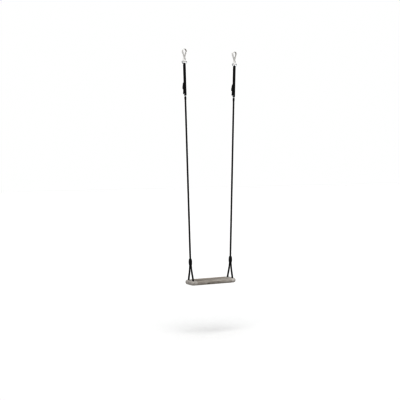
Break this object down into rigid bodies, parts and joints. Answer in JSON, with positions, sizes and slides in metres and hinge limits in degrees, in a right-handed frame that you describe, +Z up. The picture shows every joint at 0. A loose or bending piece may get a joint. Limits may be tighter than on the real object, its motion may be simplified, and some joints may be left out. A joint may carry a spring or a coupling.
{
  "type": "plank swing seat",
  "caption": "Wooden plank swing seat on two adjustable black ropes, each hung from an overhead rung by a webbing strap and a steel link.",
  "frame": {"origin": "midway between the two overhead rung axes that the hangers pass over", "axes": "+X along the seat to the right, +Y from front to back, +Z up"},
  "size_m": [0.4986, 0.136, 1.8523],
  "materials": {
    "webbing_white": "woven polyester webbing with stitched joints",
    "steel_galvanised": "bright zinc-plated steel wire",
    "rope_black": "braided black polyester rope",
    "plastic_black": "moulded black plastic, lightly textured",
    "aluminium_sleeve": "pressed aluminium",
    "wood_weathered": "weathered grey-brown hardwood with open grain"
  },
  "bodies": {
    "hangers": {"hanger_strap_left": "webbing_white", "hanger_strap_right": "webbing_white"},
    "links": {"delta_link_left": "steel_galvanised", "delta_link_right": "steel_galvanised", "sling_upper_left": "rope_black", "sling_upper_right": "rope_black"},
    "sleeve_left": {"link_sleeve_left": "steel_galvanised"},
    "sleeve_right": {"link_sleeve_right": "steel_galvanised"},
    "sliders": {"slider_left": "plastic_black", "slider_right": "plastic_black", "sling_lower_left": "rope_black", "sling_lower_right": "rope_black", "sling_tail_left": "rope_black", "sling_tail_right": "rope_black"},
    "tails": {"tail_cap_left": "plastic_black", "tail_cap_right": "plastic_black"},
    "ropes": {"rope_eye_left": "steel_galvanised", "rope_eye_right": "steel_galvanised", "rope_cap_left": "plastic_black", "rope_cap_right": "plastic_black", "main_rope_left": "rope_black", "main_rope_right": "rope_black"},
    "seat": {"press_sleeve_left": "aluminium_sleeve", "press_sleeve_right": "aluminium_sleeve", "ferrule_cover_outer_left": "plastic_black", "ferrule_cover_outer_right": "plastic_black", "ferrule_cover_inner_left": "plastic_black", "ferrule_cover_inner_right": "plastic_black", "bridle_left": "rope_black", "bridle_right": "rope_black", "seat_board": "wood_weathered"}
  },
  "joints": [
    {"name": "swing", "type": "hinge", "parent": "hangers", "child": "links", "pos_m": [0, 0, -0.08], "axis": [1, 0, 0], "range_deg": [-50, 50]},
    {"name": "seat_height", "type": "slide", "parent": "links", "child": "sliders", "axis": [0, 0, 1], "range_m": [-0.01, 0.03], "deforming": ["sling_upper_left", "sling_upper_right"]},
    {"name": "tail_travel", "type": "slide", "parent": "sliders", "child": "tails", "axis": [0, 0, -1], "range_m": [-0.02, 0.06], "deforming": ["sling_tail_left", "sling_tail_right"]},
    {"name": "rope_swing", "type": "hinge", "parent": "sliders", "child": "ropes", "pos_m": [0, 0, -0.33065], "axis": [1, 0, 0], "range_deg": [-20, 5]},
    {"name": "seat_rock", "type": "hinge", "parent": "ropes", "child": "seat", "pos_m": [0, 0, -1.63705], "axis": [1, 0, 0], "range_deg": [-12, 12]},
    {"name": "sleeve_left_screw", "type": "slide", "parent": "links", "child": "sleeve_left", "axis": [-0.6746, 0, 0.7382], "range_m": [0, 0.005]},
    {"name": "sleeve_right_screw", "type": "slide", "parent": "links", "child": "sleeve_right", "axis": [0.6746, 0, 0.7382], "range_m": [0, 0.005]}
  ],
  "couplings": [
    {"joint": "tail_travel", "follows": "seat_height", "ratio": 2}
  ]
}
